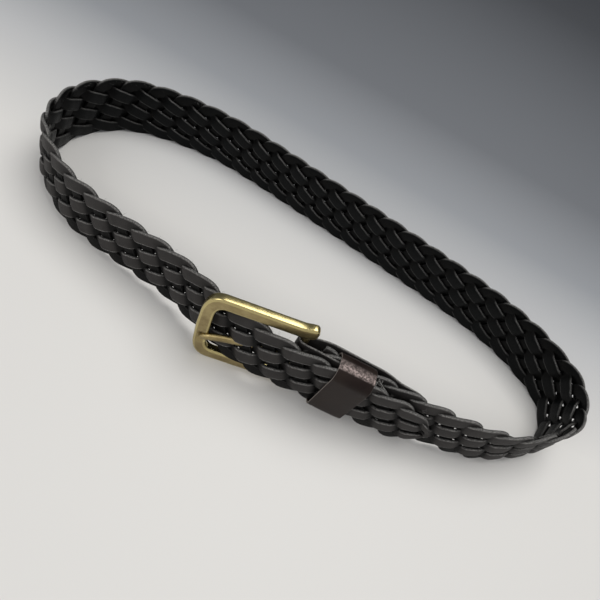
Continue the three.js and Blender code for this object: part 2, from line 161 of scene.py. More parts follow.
# Values that follow from the sizes above
HALF_BRAID = BRAID_THICKNESS / 2
MIDDLE_HEIGHT = STRAP_WIDTH / 2
BUCKLE_LIFT = (FRAME_HEIGHT - STRAP_WIDTH) / 2
BAR_RADIUS = HEEL_BAR_DIAMETER / 2
BAR_X = FRAME_LENGTH - HEEL_BAR_INSET
EYE_OUTSIDE = BAR_RADIUS + GAP + PRONG_EYE_WALL
HEEL_Y = -LOOP_WIDTH / 2 - HEEL_OUTSET
TAIL_OVER_HEEL = HEEL_Y - EYE_OUTSIDE - GAP - HALF_BRAID
BRAID_OVER_HEEL = HEEL_Y - BAR_RADIUS + HALF_BRAID
BAR_SPACING = BAR_X - RAIL_WIDTH / 2
TOE_X = HEEL_X - BAR_SPACING * math.cos(FRAME_TURN)
TOE_Y = HEEL_Y - BAR_SPACING * math.sin(FRAME_TURN)
UNDER_TOE = TOE_Y + FRAME_THICKNESS / 2 + TOE_CLEARANCE + HALF_BRAID
LAYERS_APART = BRAID_THICKNESS + TAB_THICKNESS + 3 * GAP
TAIL_APART = max(LAYERS_APART, BRAID_OVER_HEEL - TAIL_OVER_HEEL)

# The loop from the heel bar round the right end: shares of half the loop's length and of
# half its width, the lift as a share of BUCKLE_LIFT and the lean as a share of MOST_LEAN
LOOP_ROUTE = [
    (0.561, -0.907, 0.45, 0),
    (0.700, -0.814, 0.15, 0),
    (0.814, -0.674, 0, 0),
    (0.972, -0.279, 0, 0),
    (0.978, 0.180, 0, 0),
    (0.860, 0.466, 0, 0),
    (0.690, 0.651, 0, 0),
    (0.516, 0.744, 0, 0),
    (0.300, 0.818, 0, 0),
    (0.076, 0.884, 0, 0),
    (-0.150, 0.937, 0, 0),
    (-0.380, 0.990, 0, 0),
    (-0.561, 0.998, 0, 0),
    (-0.770, 0.880, 0, 0),
    (-0.914, 0.655, 0, 0.2),
    (-0.998, 0.202, 0, 0.6),
    (-0.962, -0.310, 0, 1),
    (-0.782, -0.690, 0, 1),
    (-0.640, -0.806, 0.12, 0.8),
    (-0.482, -0.880, 0.4, 0.5),
    (-0.321, -0.955, 0.72, 0.5),
]
# Through the buckle: share of the way from the toe bar to the heel bar, share of the way
# from behind the toe bar to in front of the heel bar, share of TAIL_BULGE, lift and lean
BUCKLE_PASSAGE = [
    (-0.02, 0, 0, 0.96, 0.8),
    (0.32, 0.75, 0.6, 1, 1),
    (0.66, 1, 1, 1, 0.8),
]
# Both layers beyond the heel bar: share of the free end's length, of TAIL_BULGE, and lean
LAYER_STATIONS = [
    (0.03, 0.9, 0.3),
    (0.35, 0.15, 0),
    (0.66, 0, 0),
]
LAYER_LIFT_LOSS = 0.8
LAYER_EASE = 1.3
# The prong's middle line: share of the way from the toe bar, share of PRONG_DROP, share of
# the notch bed's height, and rise as a share of its thickness
PRONG_LINE = [
    (0.62, 0.2, 0.9, 0.25),
    (0.28, 0.6, 0.9, 0.35),
]

# The weave is closer in its first part: shares of the strap's length, and strand widths
CLOSE_WEAVE = ((0.12, 0.2), (1.1, 1.0))
# How far the weave runs ahead of an even one: share of the strap's length, and pitches
BRAID_DRIFT = [
    (0.0, -0.6),
    (0.15, -0.25),
    (0.25, 0.05),
    (0.40, 0.05),
    (0.52, -0.1),
    (0.60, 0.12),
    (0.70, 0.52),
    (0.82, 0.88),
    (1.0, 0.9),
]

# The photograph's camera: where it stands, what it looks at, its roll and its lens
CAMERA_PLACE = Vector((4.83, -190.16, 221.1)) * MM
CAMERA_TARGET = Vector((4.83, -5.76, 1.5)) * MM
CAMERA_ROLL = math.radians(30.20)
CAMERA_LENS = 27.74


def lerp(start, end, share):
    return start + (end - start) * share


def smoothstep(value, low, high):
    share = np.clip((value - low) / (high - low), 0, 1)
    return share * share * (3 - 2 * share)


def unit(vectors):
    return vectors / np.linalg.norm(vectors, axis=-1, keepdims=True)


def to_blender(points):
    return (np.asarray(points, dtype=float) - BOX_MIDDLE) * MM


# Curves

def hermite(start, end, start_slope, end_slope, share):
    square = share * share
    cube = square * share
    return (
        (2 * cube - 3 * square + 1) * start
        + (cube - 2 * square + share) * start_slope
        + (3 * square - 2 * cube) * end
        + (cube - square) * end_slope
    )


def spline(points, samples, even=False):
    """A Catmull-Rom curve through points, centripetal unless even, at samples places."""
    points = np.asarray(points, dtype=float)
    first = 2 * points[0] - points[1]
    last = 2 * points[-1] - points[-2]
    padded = np.vstack([first, points, last])
    count = len(points)
    result = []
    for place in np.linspace(0, count - 1, samples):
        span = min(int(place), count - 2)
        before, start, end, after = padded[span:span + 4]
        if even:
            start_slope = (end - before) / 2
            end_slope = (after - start) / 2
        else:
            gap_0, gap_1, gap_2 = (
                math.sqrt(np.linalg.norm(b - a))
                for a, b in ((before, start), (start, end), (end, after))
            )
            start_slope = (start - before) / gap_0 - (end - before) / (gap_0 + gap_1)
            start_slope = (start_slope + (end - start) / gap_1) * gap_1
            end_slope = (end - start) / gap_1 - (after - start) / (gap_1 + gap_2)
            end_slope = (end_slope + (after - end) / gap_2) * gap_1
        result.append(hermite(start, end, start_slope, end_slope, place - span))
    return np.array(result)


# The strap's route

def inner_layer_y(x):
    """The braid leaves the tab and eases back to the loop's near line."""
    first_x = LOOP_ROUTE[0][0] * LOOP_LENGTH / 2
    share = np.maximum(0, (x - HEEL_X) / (first_x - HEEL_X))
    return lerp(BRAID_OVER_HEEL, LOOP_ROUTE[0][1] * LOOP_WIDTH / 2, share ** LAYER_EASE)


def lift_beyond_heel(step):
    return 1 - LAYER_LIFT_LOSS * (np.maximum(0, step) / FREE_END_LENGTH) ** 2


def route_stations():
    stations = []
    for share, _, _ in LAYER_STATIONS:
        step = max(BRAID_SET_BACK, share * FREE_END_LENGTH)
        x = HEEL_X + step
        stations.append((x, inner_layer_y(x), lift_beyond_heel(step), 0))
    for x, y, lift, lean in LOOP_ROUTE:
        stations.append((x * LOOP_LENGTH / 2, y * LOOP_WIDTH / 2, lift, lean))
    for along, across, bulge, lift, lean in BUCKLE_PASSAGE:
        y = lerp(UNDER_TOE, TAIL_OVER_HEEL, across) - bulge * TAIL_BULGE
        stations.append((lerp(TOE_X, HEEL_X, along), y, lift, lean))
    for share, bulge, lean in LAYER_STATIONS:
        step = share * FREE_END_LENGTH
        y = inner_layer_y(HEEL_X + step) - TAIL_APART - bulge * TAIL_BULGE
        stations.append((HEEL_X + step, y, lift_beyond_heel(step), lean))
    tip_x = HEEL_X + FREE_END_LENGTH
    tip_y = inner_layer_y(tip_x) - BRAID_THICKNESS - 2 * GAP
    stations.append((tip_x, tip_y, lift_beyond_heel(FREE_END_LENGTH), 0))
    return np.array(stations, dtype=float)


class Route:
    """The strap's middle line, with its outward direction and lean at any distance."""

    def __init__(self, samples=3600):
        stations = route_stations()
        stations[:, 2] *= BUCKLE_LIFT
        self.line = spline(stations[:, :3], samples)
        lean = spline(stations[:, 3:4], samples, even=True)[:, 0] * MOST_LEAN
        steps = np.linalg.norm(np.diff(self.line, axis=0), axis=1)
        self.distance = np.concatenate([[0], np.cumsum(steps)])
        self.length = self.distance[-1]
        along = np.gradient(self.line, axis=0)
        outward = unit(np.stack([along[:, 1], -along[:, 0]], axis=1))
        self.columns = np.column_stack([self.line, outward, lean])

    def at(self, distance):
        return [np.interp(distance, self.distance, column) for column in self.columns.T]

    def place(self, distance, height, out):
        """Points from their distance along the strap, height on it and depth outwards."""
        x, y, lift, out_x, out_y, lean = self.at(distance)
        leant = out - lean * (height / STRAP_WIDTH - 0.5)
        return np.stack(
            [x + out_x * leant, y + out_y * leant, np.maximum(0, lift) + height], axis=-1
        )

    def distance_at_x(self, x, on_free_end):
        """Where the free end, or the layer under it, passes x."""
        half = len(self.line) // 2
        if on_free_end:
            return np.interp(x, self.line[-half // 4:, 0], self.distance[-half // 4:])
        return np.interp(x, self.line[:half // 4, 0], self.distance[:half // 4])


ROUTE = Route()
PITCH_COUNT = round(ROUTE.length / NOMINAL_PITCH)
PITCH = ROUTE.length / PITCH_COUNT


# Meshes

def new_object(name, vertices, faces, attributes=None):
    mesh = bpy.data.meshes.new(name)
    mesh.from_pydata([tuple(v) for v in vertices], [], faces)
    mesh.validate()
    for key, values in (attributes or {}).items():
        layer = mesh.attributes.new(key, "FLOAT", "POINT")
        layer.data.foreach_set("value", np.asarray(values, dtype=np.float32))
    mesh.polygons.foreach_set("use_smooth", [True] * len(mesh.polygons))
    mesh.update()
    piece = bpy.data.objects.new(name, mesh)
    bpy.context.scene.collection.objects.link(piece)
    return piece


class Shell:
    """Vertices, faces and point attributes of one joined mesh."""

    def __init__(self, *keys):
        self.vertices = []
        self.faces = []
        self.attributes = {key: [] for key in keys}
        self.count = 0

    def sweep(self, rings, closed=False, **values):
        """Adds a skin over rings, an array of ring, side and coordinate."""
        ring_count, sides = rings.shape[:2]
        base = self.count
        self.vertices.append(rings.reshape(-1, 3))
        self.count += ring_count * sides
        for key, layer in self.attributes.items():
            layer.append(np.broadcast_to(values.get(key, 0.0), (ring_count, sides)).ravel())
        last = ring_count if closed else ring_count - 1
        for ring in range(last):
            here = base + ring * sides
            there = base + (ring + 1) % ring_count * sides
            for side in range(sides):
                after = (side + 1) % sides
                self.faces.append((here + side, here + after, there + after, there + side))
        if not closed:
            end = base + (ring_count - 1) * sides
            self.faces.append(tuple(base + side for side in reversed(range(sides))))
            self.faces.append(tuple(end + side for side in range(sides)))

    def build(self, name):
        vertices = to_blender(np.vstack(self.vertices))
        attributes = {key: np.concatenate(layer) for key, layer in self.attributes.items()}
        return new_object(name, vertices, self.faces, attributes)


def tube_rings(line, radius, sides=8):
    """Round rings along a line of points, for threads and fibres."""
    line = np.asarray(line, dtype=float)
    along = unit(np.gradient(line, axis=0))
    across = unit(np.cross(along, np.array([0.21, 0.35, 0.91])))
    up = np.cross(along, across)
    angles = np.linspace(0, 2 * math.pi, sides, endpoint=False)
    radii = np.broadcast_to(radius, len(line))[:, None, None]
    circle = (
        np.cos(angles)[None, :, None] * across[:, None, :]
        + np.sin(angles)[None, :, None] * up[:, None, :]
    )
    return line[:, None, :] + radii * circle


# The weave

def strand_section():
    """A strand's section: across, depth, how much is cut edge, and how much is its back."""
    half = STRAND_WIDTH / 2
    thick = STRAND_THICKNESS / 2
    rim = half - STRAND_SIDE_ROUNDING
    rim_depth = thick - STRAND_SIDE_ROUNDING
    shoulder = thick - STRAND_CROWN
    edge_depth = thick - STRAND_EDGE_ROUNDING
    across = [rim, half * 0.8, half * 0.4, -half * 0.4, -half * 0.8, -rim]
    crown = [rim_depth, shoulder, thick, thick, shoulder, rim_depth]
    front = [(x, y, 0.8 if abs(x) > half * 0.9 else 0.0, 0.0) for x, y in zip(across, crown)]
    side = [(-half, edge_depth, 1.0, 0.15), (-half, -edge_depth, 1.0, 0.8)]
    back = [(-x, -y, edge, 1.0) for x, y, edge, _ in front]
    other_side = [(-x, -y, edge, 0.95 - share) for x, y, edge, share in side]
    return np.array(front + side + back + other_side)


def crossing(row, count):
    """Where a strand crosses the others: distance along the strap, and height on it."""
    along = (count + (row - 1) * ROW_SHIFT) * PITCH
    return np.array([along, STRAP_WIDTH - EDGE_MARGIN - (row - 1) * ROW_STEP])


def strand_line(first):
    """One strand's middle line from its first top turn: distance, height, depth, width share."""
    rise = unit(crossing(1, 1) - crossing(2, 0)) * TURN_REACH
    fall = unit(crossing(2, 0) - crossing(1, 0)) * TURN_REACH
    line = []

    def run(start, end, depths, widths, steps, slopes=None):
        for step in range(steps):
            share = step / steps
            if slopes is None:
                flat = lerp(start, end, share)
            else:
                flat = hermite(start, end, slopes[0], slopes[1], share)
            turn = smoothstep(share, RUN_HOLD, 1 - RUN_HOLD)
            waist = WAIST_SHARE * math.sin(math.pi * share) ** 2 if slopes is None else 0
            line.append((flat[0], flat[1], lerp(*depths, turn), lerp(*widths, share) - waist))

    count = first
    steep = STEEP_WIDTH_SHARE
    while count < PITCH_COUNT + STRAND_COUNT:
        down = count + 1
        over = (GENTLE_DEPTH, -STEEP_DEPTH)
        run(crossing(1, count), crossing(1, down), over, (1, steep), EDGE_RUN_STEPS, (rise, fall))
        for row in range(1, ROWS):
            depth = STEEP_DEPTH if row % 2 == 0 else -STEEP_DEPTH
            start = crossing(row, down)
            end = crossing(row + 1, down)
            run(start, end, (depth, -depth), (steep, steep), STEEP_RUN_STEPS)
        up = down + 1
        under = (STEEP_DEPTH, -GENTLE_DEPTH)
        start = crossing(ROWS, down)
        run(start, crossing(ROWS, up), under, (steep, 1), EDGE_RUN_STEPS, (fall, rise))
        for step in range(ROWS - 1):
            row = ROWS - step
            depth = GENTLE_DEPTH if row % 2 == 1 else -GENTLE_DEPTH
            start = crossing(row, up + step)
            end = crossing(row - 1, up + step + 1)
            run(start, end, (depth, -depth), (1, 1), GENTLE_RUN_STEPS)
        count += STRAND_COUNT
    return np.array(line)


def tip_narrowing(distance, radius):
    """Share of the strap's width that is left where it rounds off to its tip."""
    tip = np.clip(1 - (ROUTE.length - distance) / radius, 0, 1)
    return np.maximum(np.sqrt(1 - tip ** 2), TIP_END_WIDTH / STRAP_WIDTH)


def add_fibres(shell):
    """Short stray fibres on the strap's top edge."""
    for _ in range(FIBRE_COUNT):
        distance = ROUTE.length * random.uniform(*FIBRE_STRETCH)
        height = STRAP_WIDTH - FIBRE_ROOT_DEPTH
        out = random.uniform(-0.8, 0.8)
        start = ROUTE.place(np.array([distance]), np.array([height]), np.array([out]))[0]
        lean = np.array([random.uniform(-1, 1), random.uniform(-1, 1), random.uniform(0.1, 0.9)])
        bend = np.array([random.uniform(-1, 1), random.uniform(-1, 1), 0.0]) * 0.3
        length = random.uniform(*FIBRE_LENGTHS)
        steps = np.linspace(0, 1, 4)[:, None]
        line = start + length * (steps * lean + steps ** 2 * bend)
        shell.sweep(tube_rings(line, FIBRE_RADIUS, 3), cut_edge=1.0, tone=0.5)


def braided_strap():
    section = strand_section()
    shell = Shell("cut_edge", "back", "tone", "cavity")
    plane = np.array([0.0, 0.0, 1.0])
    shares, drift = np.array(BRAID_DRIFT).T
    for strand in range(STRAND_COUNT):
        line = strand_line(strand - 2 * STRAND_COUNT)
        line[:, 0] += PITCH * np.interp(line[:, 0] / ROUTE.length, shares, drift)
        line = line[(line[:, 0] > 0) & (line[:, 0] < ROUTE.length)]
        line[:, 3] *= np.interp(line[:, 0] / ROUTE.length, *CLOSE_WEAVE)
        middle = line[:, :3]
        along = unit(np.gradient(middle, axis=0))
        across = unit(np.cross(plane, along)) * line[:, 3:4]
        up = unit(np.cross(along, across))
        flat = (
            middle[:, None, :]
            + section[None, :, 0:1] * across[:, None, :]
            + section[None, :, 1:2] * up[:, None, :]
        )
        distance = np.clip(flat[..., 0], 0, ROUTE.length)
        from_middle = flat[..., 1] - MIDDLE_HEIGHT
        narrow_top = tip_narrowing(distance, TIP_TOP_RADIUS)
        narrow_bottom = tip_narrowing(distance, TIP_BOTTOM_RADIUS)
        height = MIDDLE_HEIGHT + from_middle * np.where(from_middle > 0, narrow_top, narrow_bottom)
        height = np.maximum(height, 0.02)
        out = flat[..., 2] * (1 - TIP_THINNING * (1 - narrow_bottom))
        # How deep a point lies under the plates of the face that it shows on
        depth = np.where(section[None, :, 3] > 0.5, -flat[..., 2], flat[..., 2])
        # Painted shade: points lying deep under the plates are darkened, less so near the open top
        # edge
        cavity = 1 - smoothstep(depth, *PAINTED_SHADE_DEPTHS)
        cavity = cavity * smoothstep(STRAP_WIDTH - flat[..., 1], *OPEN_EDGE)
        shell.sweep(
            ROUTE.place(distance, height, out),
            cut_edge=section[None, :, 2],
            back=section[None, :, 3],
            tone=random.random(),
            cavity=cavity,
        )
    add_fibres(shell)
    return shell.build("woven_strap")


# The tab: one strip of leather folded round the heel bar

def tab_path():
    """Middle line of the tab from above: outer leaf, fold, inner leaf."""
    middle = TAB_THICKNESS / 2
    offset = HALF_BRAID + GAP + middle
    fold = BAR_RADIUS + GAP + middle
    keeper_middle = KEEPER_FROM_HEEL + KEEPER_LENGTH / 2

    def leaf(length, side):
        step = np.linspace(length, LEAF_START, round(length / LEAF_STEP))
        opened = smoothstep(step, *LEAF_OPENING)
        from_keeper = abs(step - keeper_middle) / KEEPER_LENGTH
        near_keeper = 1 - smoothstep(from_keeper, *LEAF_CLOSING)
        stand_off = near_keeper * (KEEPER_WALL + 2 * GAP) if side > 0 else 0
        leaf_y = inner_layer_y(HEEL_X + step) + side * offset + stand_off
        return np.column_stack([HEEL_X + step, lerp(HEEL_Y + side * fold, leaf_y, opened)])

    angles = -math.pi / 2 - np.linspace(0, math.pi, FOLD_STEPS)
    bend = np.column_stack([HEEL_X + fold * np.cos(angles), HEEL_Y + fold * np.sin(angles)])
    return np.vstack([leaf(OUTER_LEAF_LENGTH, -1), bend, leaf(INNER_LEAF_LENGTH, 1)[::-1]])


def tab_end_height(step, length):
    """Height of a leaf near its rounded end."""
    inset = np.clip(1 - (length - step) / TAB_END_RADIUS, 0, 1)
    return TAB_HEIGHT - 2 * TAB_END_RADIUS * (1 - np.sqrt(1 - 0.94 * inset ** 2))


def add_lacing(shell):
    """The lace's loose ends, across the gap from the tab to the free end."""
    for start_step, end_step, dip in LACE_ENDS:
        start_x = HEEL_X + start_step
        end_x = HEEL_X + end_step
        top = BUCKLE_LIFT * lift_beyond_heel(start_step) + STRAP_WIDTH
        inner_y = inner_layer_y(start_x)
        free_y = ROUTE.at(ROUTE.distance_at_x(end_x, True))[1]
        points = [
            (start_x, inner_y - 1.5, top - 0.6),
            (lerp(start_x, end_x, 0.3), lerp(inner_y, free_y, 0.45), top - dip),
            (lerp(start_x, end_x, 0.75), lerp(inner_y, free_y, 0.8), top - dip * 0.8),
            (end_x, free_y + 0.4, top - 1.4),
        ]
        line = spline(points, 24)
        shell.sweep(tube_rings(line, LACE_RADIUS, 6), cut_edge=0.75, tone=0.5)


def leather_tab():
    path = tab_path()
    along = unit(np.gradient(path, axis=0))
    side = np.column_stack([-along[:, 1], along[:, 0]])
    step = path[:, 0] - HEEL_X
    fold_at = int(np.argmin(step))
    lengths = np.where(np.arange(len(path)) < fold_at, OUTER_LEAF_LENGTH, INNER_LEAF_LENGTH)
    tall = tab_end_height(step, lengths)
    lift = BUCKLE_LIFT * lift_beyond_heel(step) + MIDDLE_HEIGHT
    half = TAB_THICKNESS / 2
    # Section as depth, share of half the height, and how much of it is cut edge
    section = [(-half, y, 0.0) for y in (-0.97, -0.9, -0.5, 0, 0.5, 0.9, 0.97)]
    section += [(-half * 0.5, 1, 1.0), (half * 0.5, 1, 1.0)]
    section += [(half, y, 0.0) for y in (0.97, 0.9, 0.5, 0, -0.5, -0.9, -0.97)]
    section += [(half * 0.5, -1, 1.0), (-half * 0.5, -1, 1.0)]
    section = np.array(section[::-1])
    depth = section[:, 0]
    flat = path[:, None, :] + depth[None, :, None] * side[:, None, :]
    height = lift[:, None] + section[None, :, 1] * tall[:, None] / 2
    shell = Shell("cut_edge", "tone")
    shell.sweep(
        np.concatenate([flat, height[..., None]], axis=-1),
        cut_edge=section[None, :, 2],
        tone=0.5,
    )
    add_lacing(shell)
    return shell.build("tab")


# The keeper

def ring_line(width, height, radius, arc_steps=16, straight_steps=10):
    """A rounded rectangle, anticlockwise from the middle of its right side."""
    x = width / 2 - radius
    y = height / 2 - radius
    points = []
    for quarter, (cx, cy) in enumerate(((x, y), (-x, y), (-x, -y), (x, -y))):
        for step in range(arc_steps + 1):
            angle = (quarter + step / arc_steps) * math.pi / 2
            points.append((cx + radius * math.cos(angle), cy + radius * math.sin(angle)))
    dense = []
    for start, end in zip(points, points[1:] + points[:1]):
        start = np.array(start)
        end = np.array(end)
        pieces = straight_steps if np.linalg.norm(end - start) > 3 else 1
        dense += [lerp(start, end, step / pieces) for step in range(pieces)]
    return np.array(dense)


def keeper_frame():
    """The keeper's middle, its axes and its inside depth, from both layers of the strap."""
    start_x = HEEL_X + KEEPER_FROM_HEEL
    places = [start_x, start_x + KEEPER_LENGTH / 2, start_x + KEEPER_LENGTH]
    free = np.array([ROUTE.at(ROUTE.distance_at_x(x, True))[:3] for x in places])
    under = np.array([ROUTE.at(ROUTE.distance_at_x(x, False))[:3] for x in places])
    along = unit(free[-1] - free[0])
    outward = unit(np.array([along[1], -along[0], 0]))
    down = np.cross(along, outward)
    outside = max((free - free[0]) @ outward) + HALF_BRAID + GAP + KEEPER_FRONT_ROOM
    inside = min((under - free[0]) @ outward) - HALF_BRAID - GAP
    middle = (free[0] + free[-1]) / 2 + np.array([0, 0, MIDDLE_HEIGHT])
    middle = middle + outward * (outside + inside) / 2
    return middle, outward, down, along, outside - inside


def keeper_loop():
    middle, outward, down, along, depth = keeper_frame()
    wall = KEEPER_WALL
    line = ring_line(depth + wall, STRAP_WIDTH + 2 * KEEPER_SIDE_GAP + wall, KEEPER_CORNER - wall / 2)
    tangent = unit(np.roll(line, -1, axis=0) - np.roll(line, 1, axis=0))
    normal = np.column_stack([tangent[:, 1], -tangent[:, 0]])
    half = KEEPER_LENGTH / 2
    # The wall's section: place along the strap, depth, cut edge
    outer = [
        (x * half, wall / 2 - KEEPER_EDGE_ROUNDING * abs(x) ** 6, 0.0)
        for x in (-0.99, -0.93, -0.5, 0, 0.5, 0.93, 0.99)
    ]
    inner = [(-x, -0.5 * wall, 0.0) for x, _, _ in outer]
    right = [(half, 0.3 * wall, 1.0), (half, -0.3 * wall, 1.0)]
    left = [(-half, -0.3 * wall, 1.0), (-half, 0.3 * wall, 1.0)]
    section = np.array(outer + right + inner + left)
    centre = line[:, 0:1] * outward + line[:, 1:2] * down + middle
    wall_out = normal[:, 0:1] * outward + normal[:, 1:2] * down
    rings = (
        centre[:, None, :]
        + section[None, :, 0:1] * along
        + section[None, :, 1:2] * wall_out[:, None, :]
    )
    # The rubbed fold, worn and with a painted highlight, lies high on the turn from the front to the
    # top
    worn = smoothstep(normal @ WORN_HIGHLIGHT_DIRECTION, *WORN_HIGHLIGHT_FADE)
    shell = Shell("cut_edge", "worn")
    shell.sweep(rings, closed=True, cut_edge=section[None, :, 2], worn=worn[:, None])
    return shell.build("keeper")


# The buckle, in its own plane: X from the toe, Y up from its middle, Z outwards

def in_buckle_plane(points):
    points = np.asarray(points, dtype=float)
    x = points[..., 0] - BAR_X
    y = points[..., 1]
    z = points[..., 2]
    cos_turn = math.cos(FRAME_TURN)
    sin_turn = math.sin(FRAME_TURN)
    return np.stack([
        HEEL_X + x * cos_turn + z * sin_turn,
        HEEL_Y + x * sin_turn - z * cos_turn,
        FRAME_HEIGHT / 2 + y,
    ], axis=-1)


def curve_2d(start, control, end, steps):
    share = np.linspace(0, 1, steps)[:, None]
    start, control, end = (np.array(point, dtype=float) for point in (start, control, end))
    return (1 - share) ** 2 * start + 2 * share * (1 - share) * control + share ** 2 * end


def frame_sides():
    """Outer and inner outline of the frame's upper half, from the heel end to the toe."""
    top = FRAME_HEIGHT / 2
    rail = top - RAIL_WIDTH
    inside = RAIL_WIDTH + CORNER_LENGTH / 2
    corner = rail - CORNER_HEIGHT / 2
    straight = np.linspace(0, 1, SIDE_STEPS)[:, None]
    outer_rail = lerp(np.array([FRAME_LENGTH, top]), np.array([CORNER_LENGTH, top]), straight)
    inner_rail = lerp(np.array([FRAME_LENGTH, rail]), np.array([inside, rail]), straight)
    outer_turn = curve_2d(
        (CORNER_LENGTH, top), (TOE_BOW, top), (TOE_BOW, top - CORNER_HEIGHT), TURN_STEPS
    )
    inner_turn = curve_2d((inside, rail), (RAIL_WIDTH, rail), (RAIL_WIDTH, corner), TURN_STEPS)
    outer_toe = lerp(np.array([TOE_BOW, top - CORNER_HEIGHT]), np.array([0.2, 0]), straight)
    inner_toe = lerp(np.array([RAIL_WIDTH, corner]), np.array([RAIL_WIDTH, 0]), straight)
    outer = np.vstack([outer_rail, outer_turn[1:], outer_toe[1:]])
    inner = np.vstack([inner_rail, inner_turn[1:], inner_toe[1:]])
    return outer, inner


def bar_section():
    """A bar's section as shares of its width and of its thickness, and how near an edge."""
    points = []
    bevel = FRAME_BEVEL / RAIL_WIDTH
    thick = FRAME_BEVEL / FRAME_THICKNESS
    for x_sign, y_sign in ((1, 1), (-1, 1), (-1, -1), (1, -1)):
        turn = x_sign * y_sign
        for step in range(5):
            angle = math.pi / 2 * step / 4
            if turn < 0:
                angle = math.pi / 2 - angle
            x = x_sign * (0.5 - bevel * (1 - math.cos(angle)))
            y = y_sign * (0.5 - thick * (1 - math.sin(angle)))
            points.append((x, y, 1.0))
        if x_sign == y_sign:
            inner = (0.28, 0.1, -0.1, -0.28)
            points += [(x_sign * x, y_sign * 0.515, 0.0) for x in inner]
    return np.array(points)


def buckle_frame():
    outer, inner = frame_sides()
    lower = slice(-2, None, -1)
    flip = np.array([1, -1])
    outer = np.vstack([outer, outer[lower] * flip])
    inner = np.vstack([inner, inner[lower] * flip])
    # The upper rail flares a little towards its heel end
    flare = HEEL_FLARE * smoothstep(FRAME_LENGTH - outer[:, 0], FLARE_LENGTH, FLARE_END)
    flare = flare * (outer[:, 1] > 0)
    outer[:, 1] += flare
    inner[:, 1] += INNER_FLARE_SHARE * flare
    # Rounded heel ends: more rings past both ends, shrinking on a quarter circle
    section = bar_section()
    width = outer - inner
    middle = (outer + inner) / 2
    turns = np.linspace(0, math.pi / 2 * 0.97, 7)[1:]
    rings = []

    def add_ring(centre, across, shrink):
        flat = centre + section[:, 0:1] * across * shrink
        depth = section[:, 1] * FRAME_THICKNESS * lerp(1, shrink, 0.7)
        rings.append(np.column_stack([flat, depth]))

    for turn in reversed(turns):
        centre = middle[0] + np.array([HEEL_ROUNDING * math.sin(turn) - HEEL_ROUNDING, 0])
        add_ring(centre, width[0], math.cos(turn))
    for centre, across in zip(middle, width):
        if centre[0] < FRAME_LENGTH - HEEL_ROUNDING:
            add_ring(centre, across, 1)
    for turn in turns:
        centre = middle[-1] + np.array([HEEL_ROUNDING * math.sin(turn) - HEEL_ROUNDING, 0])
        add_ring(centre, width[-1], math.cos(turn))
    rings = np.array(rings)
    # The notch for the prong: a pocket in the toe bar's front, open to the inside
    reach = smoothstep(rings[..., 0] - PRONG_SET_BACK, *NOTCH_SLOPE)
    from_prong = abs(rings[..., 1] + PRONG_DROP)
    wide = 1 - smoothstep(from_prong, PRONG_WIDTH / 2, PRONG_WIDTH / 2 + NOTCH_EASE)
    on_toe = rings[..., 0] < RAIL_WIDTH + 0.5
    front = rings[..., 2] > 0
    rings[..., 2] -= np.where(front & on_toe, NOTCH_DEPTH * reach * wide, 0)
    shell = Shell("polish")
    polish = np.broadcast_to(section[None, :, 2], rings.shape[:2])
    shell.sweep(in_buckle_plane(rings), polish=polish)
    bar = np.linspace(-1, 1, BAR_STEPS) * (FRAME_HEIGHT / 2 - RAIL_WIDTH / 2)
    bar_line = np.column_stack([np.full(BAR_STEPS, BAR_X), bar, np.zeros(BAR_STEPS)])
    shell.sweep(tube_rings(in_buckle_plane(bar_line), BAR_RADIUS, 20))
    return shell.build("frame")


def buckle_prong():
    bed = FRAME_THICKNESS / 2 - NOTCH_DEPTH + GAP
    points = [(BAR_X - BAR_RADIUS - PRONG_EYE_WALL * 0.6, 0, 0)]
    for along, drop, bed_share, rise in PRONG_LINE:
        height = bed * bed_share + PRONG_THICKNESS * rise
        points.append((BAR_X * along, -PRONG_DROP * drop, height))
    points.append((PRONG_SET_BACK, -PRONG_DROP, bed + PRONG_THICKNESS / 2))
    line = spline(points, PRONG_STEPS)
    along = unit(np.gradient(line, axis=0))
    across = np.array([0.0, 1.0, 0.0])
    out = unit(np.cross(along, across))
    half = PRONG_WIDTH / 2
    thick = PRONG_THICKNESS / 2
    # Section from the lower side over the front: a band, a groove and a ridge above it
    section = np.array([
        (-half, 0, 0), (-half * 0.86, thick * 0.55, 0.4), (-half * 0.6, thick * 0.82, 0.6),
        (-half * 0.3, thick * 0.8, 0.4), (-half * 0.08, thick * 0.52, 0),
        (half * 0.12, thick * 0.55, 0), (half * 0.34, thick * 0.95, 0.8),
        (half * 0.62, thick, 1), (half * 0.86, thick * 0.62, 0.8), (half, 0, 0.2),
        (half * 0.7, -thick * 0.8, 0), (0, -thick, 0), (-half * 0.7, -thick * 0.8, 0),
    ])[::-1]
    fade = smoothstep(np.arange(PRONG_STEPS) / (PRONG_STEPS - 1), 0.86, 1)
    narrow = 1 - PRONG_TIP_NARROWING * fade
    narrow[-3:] *= (0.92, 0.74, 0.42)
    rings = (
        line[:, None, :]
        + section[None, :, 0:1] * narrow[:, None, None] * across
        + section[None, :, 1:2] * narrow[:, None, None] * out[:, None, :]
    )
    shell = Shell("polish")
    shell.sweep(in_buckle_plane(rings), polish=section[None, :, 2])
    angles = np.linspace(0, 2 * math.pi, 32, endpoint=False)
    centre_radius = BAR_RADIUS + GAP + PRONG_EYE_WALL / 2
    eye = np.array([(-half, -1), (half, -1), (half, 1), (-half, 1)], dtype=float)
    eye_rings = [
        [(
            BAR_X + math.cos(angle) * (centre_radius + depth * PRONG_EYE_WALL / 2),
            height,
            math.sin(angle) * (centre_radius + depth * PRONG_EYE_WALL / 2),
        ) for height, depth in eye]
        for angle in angles
    ]
    shell.sweep(in_buckle_plane(eye_rings), closed=True)
    return shell.build("prong")


# Materials

